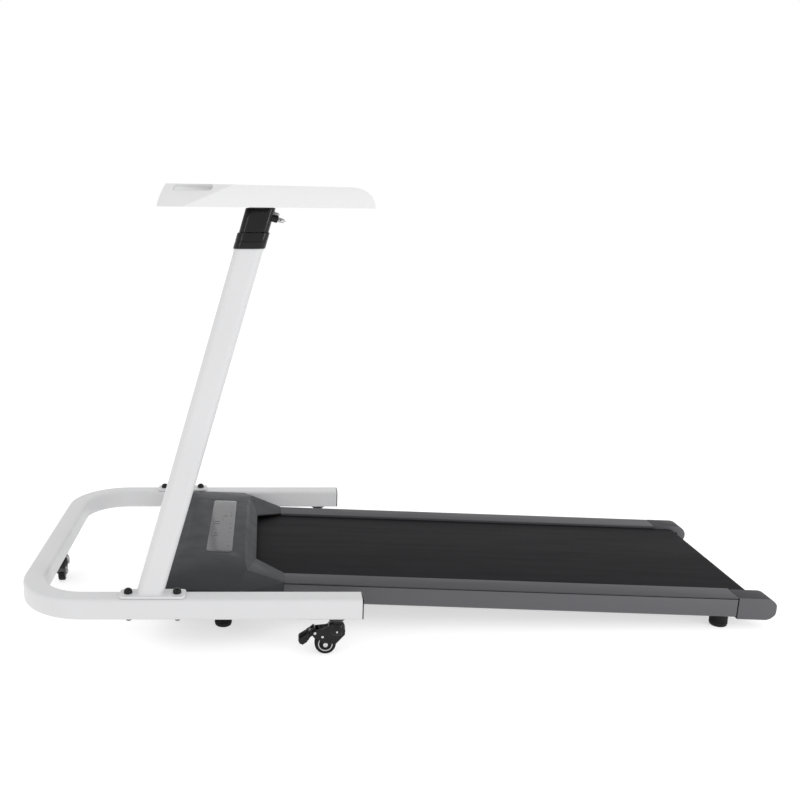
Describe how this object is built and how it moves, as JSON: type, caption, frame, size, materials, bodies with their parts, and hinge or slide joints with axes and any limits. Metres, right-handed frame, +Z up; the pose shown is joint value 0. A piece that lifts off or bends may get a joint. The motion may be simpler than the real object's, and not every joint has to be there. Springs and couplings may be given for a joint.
{
  "type": "walking pad treadmill with rolling standing desk",
  "caption": "Flat walking treadmill with a motor hood and belt, straddled by a U-shaped caster base with two leaning telescopic posts and a desk top.",
  "frame": {"origin": "on the floor, at the middle of the whole object's box", "axes": "+X from the base frame's closed front end to the rear of the running deck, +Y to the walker's right, +Z up"},
  "size_m": [1.6795, 0.836, 0.975],
  "materials": {
    "white_paint": "fine satin powder coat",
    "desk_plastic": "satin moulded",
    "black_plastic": "satin moulded",
    "hood_plastic": "fine texture",
    "rail_grey": "satin",
    "display_grey": "semi gloss",
    "belt_rubber": "fine pattern",
    "soft_rubber": "matt",
    "deck_wood": "waxed board",
    "bare_steel": "turned",
    "black_steel": "satin",
    "heat_sink": "cast"
  },
  "bodies": {
    "treadmill": {"side_rail_left": "rail_grey", "side_rail_right": "rail_grey", "foot_rail_left": "rail_grey", "foot_rail_right": "rail_grey", "end_cap_left": "rail_grey", "end_cap_right": "rail_grey", "deck_board": "deck_wood", "running_belt": "belt_rubber", "rear_axle": "bare_steel", "chassis_frame": "black_steel", "motor_hood": "hood_plastic", "display_panel": "display_grey", "bottom_pan": "black_steel", "drive_motor": "black_steel", "motor_cradle": "bare_steel", "drive_belt": "belt_rubber", "motor_controller": "heat_sink", "power_inlet": "black_plastic", "foot_front_left": "soft_rubber", "foot_front_right": "soft_rubber", "foot_rear_left": "soft_rubber", "foot_rear_right": "soft_rubber"},
    "front_roller": {"front_roller": "bare_steel"},
    "rear_roller": {"rear_roller": "bare_steel"},
    "motor_rotor": {"motor_rotor": "bare_steel"},
    "power_switch": {"power_switch": "black_plastic"},
    "desk_frame": {"base_frame": "white_paint", "rail_plug_left": "black_plastic", "rail_plug_right": "black_plastic", "post_left": "white_paint", "post_right": "white_paint", "post_collar_left": "black_plastic", "post_collar_right": "black_plastic", "clamp_sleeve_left": "black_plastic", "clamp_sleeve_right": "black_plastic", "base_bolt_left_1": "black_plastic", "base_bolt_left_2": "black_plastic", "base_bolt_right_1": "black_plastic", "base_bolt_right_2": "black_plastic", "caster_mount_rear_left": "black_steel", "caster_mount_rear_right": "black_steel", "caster_mount_front": "black_steel"},
    "desk": {"desk_top": "desk_plastic", "inner_leg_left": "white_paint", "inner_leg_right": "white_paint", "desk_crossbar": "white_paint"},
    "tension_bolt_left": {"tension_bolt_left": "black_steel"},
    "wing_screw_left": {"wing_screw_left": "bare_steel"},
    "tension_bolt_right": {"tension_bolt_right": "black_steel"},
    "wing_screw_right": {"wing_screw_right": "bare_steel"},
    "caster_rear_left_yoke": {"caster_fork_rear_left": "black_plastic"},
    "caster_rear_left_wheel": {"caster_wheel_rear_left": "soft_rubber"},
    "caster_rear_left_pedal": {"caster_brake_rear_left": "black_plastic"},
    "caster_rear_right_yoke": {"caster_fork_rear_right": "black_plastic"},
    "caster_rear_right_wheel": {"caster_wheel_rear_right": "soft_rubber"},
    "caster_rear_right_pedal": {"caster_brake_rear_right": "black_plastic"},
    "caster_front_yoke": {"caster_fork_front": "black_plastic"},
    "caster_front_wheel": {"caster_wheel_front": "soft_rubber"},
    "caster_front_pedal": {"caster_brake_front": "black_plastic"}
  },
  "joints": [
    {"name": "front_roller_spin", "type": "hinge", "parent": "treadmill", "child": "front_roller", "pos_m": [-0.36754, 0, 0.09186], "axis": [0, 1, 0], "continuous": true},
    {"name": "rear_roller_spin", "type": "hinge", "parent": "treadmill", "child": "rear_roller", "pos_m": [0.79118, 0, 0.04938], "axis": [0, 1, 0], "continuous": true},
    {"name": "motor_spin", "type": "hinge", "parent": "treadmill", "child": "motor_rotor", "pos_m": [-0.46171, 0, 0.11613], "axis": [0, 1, 0], "continuous": true},
    {"name": "power_switch_rock", "type": "hinge", "parent": "treadmill", "child": "power_switch", "pos_m": [-0.5485, -0.255, 0.0963], "axis": [0, 1, 0], "range_deg": [-7, 7]},
    {"name": "desk_frame_roll", "type": "slide", "parent": "treadmill", "child": "desk_frame", "axis": [1, 0, 0], "range_m": [-0.3, 0.15]},
    {"name": "desk_lift", "type": "slide", "parent": "desk_frame", "child": "desk", "axis": [0.2823, 0, 0.9593], "range_m": [0, 0.2]},
    {"name": "tension_bolt_left_turn", "type": "hinge", "parent": "treadmill", "child": "tension_bolt_left", "pos_m": [0.83665, -0.2235, 0.04771], "axis": [0.9993, 0, -0.0366], "continuous": true},
    {"name": "wing_screw_left_turn", "type": "hinge", "parent": "desk_frame", "child": "wing_screw_left", "pos_m": [-0.27793, -0.3725, 0.90619], "axis": [0.9593, 0, -0.2823], "continuous": true},
    {"name": "tension_bolt_right_turn", "type": "hinge", "parent": "treadmill", "child": "tension_bolt_right", "pos_m": [0.83665, 0.2235, 0.04771], "axis": [0.9993, 0, -0.0366], "continuous": true},
    {"name": "wing_screw_right_turn", "type": "hinge", "parent": "desk_frame", "child": "wing_screw_right", "pos_m": [-0.27793, 0.3725, 0.90619], "axis": [0.9593, 0, -0.2823], "continuous": true},
    {"name": "caster_rear_left_swivel", "type": "hinge", "parent": "desk_frame", "child": "caster_rear_left_yoke", "pos_m": [-0.1527, -0.3725, 0.07], "axis": [0, 0, 1], "continuous": true},
    {"name": "caster_rear_left_roll", "type": "hinge", "parent": "caster_rear_left_yoke", "child": "caster_rear_left_wheel", "pos_m": [-0.1762, -0.3725, 0.0228], "axis": [0, 1, 0], "continuous": true},
    {"name": "caster_rear_left_brake", "type": "hinge", "parent": "caster_rear_left_yoke", "child": "caster_rear_left_pedal", "pos_m": [-0.1987, -0.3725, 0.049], "axis": [0, 1, 0], "range_deg": [0, 15]},
    {"name": "caster_rear_right_swivel", "type": "hinge", "parent": "desk_frame", "child": "caster_rear_right_yoke", "pos_m": [-0.1527, 0.3725, 0.07], "axis": [0, 0, 1], "continuous": true},
    {"name": "caster_rear_right_roll", "type": "hinge", "parent": "caster_rear_right_yoke", "child": "caster_rear_right_wheel", "pos_m": [-0.1762, 0.3725, 0.0228], "axis": [0, 1, 0], "continuous": true},
    {"name": "caster_rear_right_brake", "type": "hinge", "parent": "caster_rear_right_yoke", "child": "caster_rear_right_pedal", "pos_m": [-0.1987, 0.3725, 0.049], "axis": [0, 1, 0], "range_deg": [0, 15]},
    {"name": "caster_front_swivel", "type": "hinge", "parent": "desk_frame", "child": "caster_front_yoke", "pos_m": [-0.8157, 0, 0.07], "axis": [0, 0, 1], "continuous": true},
    {"name": "caster_front_roll", "type": "hinge", "parent": "caster_front_yoke", "child": "caster_front_wheel", "pos_m": [-0.81775, 0.02341, 0.0228], "axis": [0.9962, 0.0872, 0], "continuous": true},
    {"name": "caster_front_brake", "type": "hinge", "parent": "caster_front_yoke", "child": "caster_front_pedal", "pos_m": [-0.81971, 0.04582, 0.049], "axis": [0.9962, 0.0872, 0], "range_deg": [0, 15]}
  ],
  "couplings": [
    {"joint": "rear_roller_spin", "follows": "front_roller_spin", "ratio": 1},
    {"joint": "motor_spin", "follows": "front_roller_spin", "ratio": 2}
  ]
}
